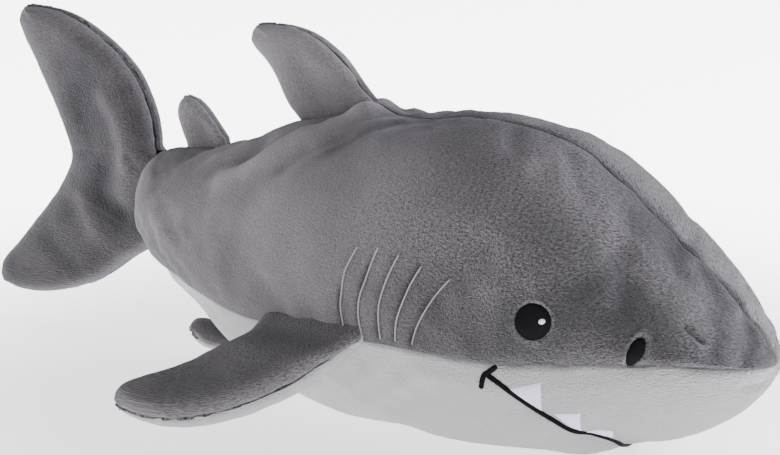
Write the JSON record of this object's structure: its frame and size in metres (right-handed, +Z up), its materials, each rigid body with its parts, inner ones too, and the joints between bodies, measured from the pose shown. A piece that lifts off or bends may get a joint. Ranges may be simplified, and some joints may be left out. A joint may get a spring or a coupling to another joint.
{
  "type": "plush shark",
  "caption": "Stuffed plush shark lying on its belly, with sewn fins that bend at their seams and an embroidered face and gills.",
  "frame": {"origin": "on the resting plane, under the middle of the overall box", "axes": "+X towards the snout, +Y to the shark's left, +Z up"},
  "size_m": [0.4214, 0.2424, 0.1705],
  "materials": {
    "grey_plush": "short-pile plush, blue grey, soft nap sheen",
    "pale_plush": "short-pile plush, off-white with a cool tint",
    "black_thread": "black satin-stitch embroidery, slight gloss",
    "white_thread": "white satin-stitch embroidery",
    "silver_thread": "light grey single-line embroidery",
    "fibre_filling": "loose white polyester fibre"
  },
  "bodies": {
    "body": {"left_back_panel": "grey_plush", "right_back_panel": "grey_plush", "belly_panel": "pale_plush", "body_filling": "fibre_filling", "left_eye": "black_thread", "left_eye_highlight": "white_thread", "left_nostril": "black_thread", "left_mouth_corner": "black_thread", "left_tooth_1": "white_thread", "left_tooth_2": "white_thread", "left_tooth_3": "white_thread", "left_gill_1": "silver_thread", "left_gill_2": "silver_thread", "left_gill_3": "silver_thread", "left_gill_4": "silver_thread", "left_gill_5": "silver_thread", "right_eye": "black_thread", "right_eye_highlight": "white_thread", "right_nostril": "black_thread", "right_mouth_corner": "black_thread", "right_tooth_1": "white_thread", "right_tooth_2": "white_thread", "right_tooth_3": "white_thread", "right_gill_1": "silver_thread", "right_gill_2": "silver_thread", "right_gill_3": "silver_thread", "right_gill_4": "silver_thread", "right_gill_5": "silver_thread", "mouth_line": "black_thread"},
    "dorsal_fin": {"dorsal_fin_left_panel": "grey_plush", "dorsal_fin_right_panel": "grey_plush", "dorsal_fin_filling": "fibre_filling"},
    "rear_dorsal_fin": {"rear_dorsal_fin_left_panel": "grey_plush", "rear_dorsal_fin_right_panel": "grey_plush", "rear_dorsal_fin_filling": "fibre_filling"},
    "tail_fin": {"tail_fin_left_panel": "grey_plush", "tail_fin_right_panel": "grey_plush", "tail_fin_filling": "fibre_filling"},
    "left_pectoral_fin": {"left_pectoral_fin_top_panel": "grey_plush", "left_pectoral_fin_bottom_panel": "pale_plush", "left_pectoral_fin_filling": "fibre_filling"},
    "left_pelvic_fin": {"left_pelvic_fin_top_panel": "grey_plush", "left_pelvic_fin_bottom_panel": "pale_plush", "left_pelvic_fin_filling": "fibre_filling"},
    "right_pectoral_fin": {"right_pectoral_fin_top_panel": "grey_plush", "right_pectoral_fin_bottom_panel": "pale_plush", "right_pectoral_fin_filling": "fibre_filling"},
    "right_pelvic_fin": {"right_pelvic_fin_top_panel": "grey_plush", "right_pelvic_fin_bottom_panel": "pale_plush", "right_pelvic_fin_filling": "fibre_filling"}
  },
  "joints": [
    {"name": "tail_swing", "type": "hinge", "parent": "body", "child": "tail_fin", "pos_m": [-0.117, 0, 0.078], "axis": [0, 0, 1], "range_deg": [-40, 40], "stiffness_Nm_per_rad": 0.15},
    {"name": "dorsal_fin_tilt", "type": "hinge", "parent": "body", "child": "dorsal_fin", "pos_m": [-0.00277, 0, 0.13819], "axis": [0.9752, 0, 0.2213], "range_deg": [-35, 35], "stiffness_Nm_per_rad": 0.08},
    {"name": "rear_dorsal_fin_tilt", "type": "hinge", "parent": "body", "child": "rear_dorsal_fin", "pos_m": [-0.07705, 0, 0.11439], "axis": [0.9872, 0, 0.1595], "range_deg": [-35, 35], "stiffness_Nm_per_rad": 0.03},
    {"name": "left_pectoral_fin_flap", "type": "hinge", "parent": "body", "child": "left_pectoral_fin", "pos_m": [0.02979, 0.085, 0.04367], "axis": [0.9894, 0.1358, 0.0507], "range_deg": [-6, 50], "stiffness_Nm_per_rad": 0.12},
    {"name": "right_pectoral_fin_flap", "type": "hinge", "parent": "body", "child": "right_pectoral_fin", "pos_m": [0.02979, -0.085, 0.04367], "axis": [-0.9894, 0.1358, -0.0507], "range_deg": [-6, 50], "stiffness_Nm_per_rad": 0.12},
    {"name": "left_pelvic_fin_flap", "type": "hinge", "parent": "body", "child": "left_pelvic_fin", "pos_m": [-0.04822, 0.03155, 0.02063], "axis": [0.8567, 0.1495, -0.4937], "range_deg": [-10, 25], "stiffness_Nm_per_rad": 0.03},
    {"name": "right_pelvic_fin_flap", "type": "hinge", "parent": "body", "child": "right_pelvic_fin", "pos_m": [-0.04822, -0.03155, 0.02063], "axis": [-0.8567, 0.1495, 0.4937], "range_deg": [-10, 25], "stiffness_Nm_per_rad": 0.03}
  ]
}
